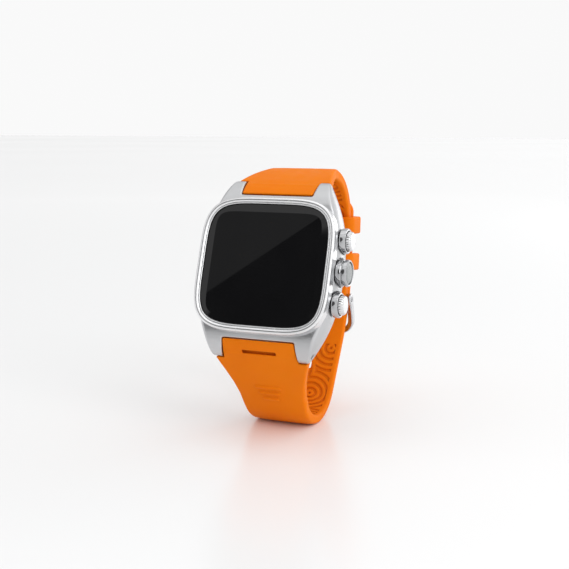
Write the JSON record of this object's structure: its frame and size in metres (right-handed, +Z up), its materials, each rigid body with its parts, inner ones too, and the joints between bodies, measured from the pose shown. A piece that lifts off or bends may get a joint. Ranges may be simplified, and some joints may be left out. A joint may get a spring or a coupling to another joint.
{
  "type": "wrist smartwatch",
  "caption": "Touchscreen sports smartwatch with a tonneau steel case, two side buttons, a side camera and a buckled rubber strap.",
  "frame": {"origin": "on the floor, in the middle of the flat foot at the bottom bend of the strap", "axes": "+Z up, the display faces -Y and leans back 20 degrees, +X towards 3 o'clock where the buttons are"},
  "size_m": [0.0456, 0.0612, 0.0763],
  "materials": {
    "case_steel": "satin, finely brushed cast steel",
    "cover_steel": "straight brushed",
    "bezel_steel": "polished",
    "control_steel": "polished",
    "buckle_steel": "polished, lightly worn",
    "dark_steel": "plain",
    "display_glass": "glossy black, bevelled edge",
    "camera_glass": "grey tinted",
    "strap_rubber": "satin moulded silicone, orange",
    "seal_rubber": "matte",
    "black_plastic": "fine moulded texture",
    "board_green": "solder mask",
    "antenna_ceramic": "unglazed",
    "battery_foil": "foil pouch",
    "contact_gold": "gold plated"
  },
  "bodies": {
    "case": {"mid_case": "case_steel", "bezel_ring": "bezel_steel", "display_glass": "display_glass", "touch_sensor": "display_glass", "lcd_module": "black_plastic", "main_board": "board_green", "processor_shield": "dark_steel", "gps_antenna": "antenna_ceramic", "battery": "battery_foil", "speaker": "black_plastic", "microphone": "dark_steel", "vibration_motor": "dark_steel", "camera_housing": "control_steel", "camera_glass": "camera_glass", "camera_lens_barrel": "black_plastic", "camera_module": "black_plastic", "button_collar_top": "control_steel", "side_switch_top": "black_plastic", "button_collar_bottom": "control_steel", "side_switch_bottom": "black_plastic", "back_cover": "cover_steel", "back_screw_1": "dark_steel", "back_screw_2": "dark_steel", "back_screw_3": "dark_steel", "back_screw_4": "dark_steel", "charge_contact_1": "contact_gold", "charge_contact_2": "contact_gold", "charge_contact_3": "contact_gold", "charge_contact_4": "contact_gold", "lower_strap": "strap_rubber", "spring_bar_top": "dark_steel", "spring_bar_bottom": "dark_steel"},
    "top_button": {"button_top": "control_steel", "button_seal_top": "seal_rubber"},
    "bottom_button": {"button_bottom": "control_steel", "button_seal_bottom": "seal_rubber"},
    "strap": {"upper_strap": "strap_rubber", "buckle_bar": "dark_steel"},
    "upper_keeper": {"keeper_upper": "strap_rubber"},
    "lower_keeper": {"keeper_lower": "strap_rubber"},
    "buckle": {"buckle_frame": "buckle_steel"},
    "tongue": {"buckle_tongue": "buckle_steel"}
  },
  "joints": [
    {"name": "top_button_press", "type": "slide", "parent": "case", "child": "top_button", "axis": [-1, 0, 0], "range_m": [0, 0.0006], "stiffness_N_per_m": 3000},
    {"name": "bottom_button_press", "type": "slide", "parent": "case", "child": "bottom_button", "axis": [-1, 0, 0], "range_m": [0, 0.0006], "stiffness_N_per_m": 3000},
    {"name": "strap_flex", "type": "hinge", "parent": "case", "child": "strap", "pos_m": [0, -0.0055, 0.0708], "axis": [1, 0, 0], "range_deg": [-4, 4], "stiffness_Nm_per_rad": 0.6, "deforming": ["lower_strap"]},
    {"name": "upper_keeper_slide", "type": "slide", "parent": "strap", "child": "upper_keeper", "axis": [0, -0.055, -0.9985], "range_m": [-0.0008, 0.0025]},
    {"name": "lower_keeper_slide", "type": "slide", "parent": "strap", "child": "lower_keeper", "axis": [0, -0.1213, -0.9926], "range_m": [-0.0025, 0.004]},
    {"name": "buckle_hinge", "type": "hinge", "parent": "strap", "child": "buckle", "pos_m": [0, 0.02426, 0.03405], "axis": [1, 0, 0], "range_deg": [0, 20]},
    {"name": "tongue_hinge", "type": "hinge", "parent": "buckle", "child": "tongue", "pos_m": [0, 0.02426, 0.03405], "axis": [1, 0, 0], "range_deg": [0, 25]}
  ]
}
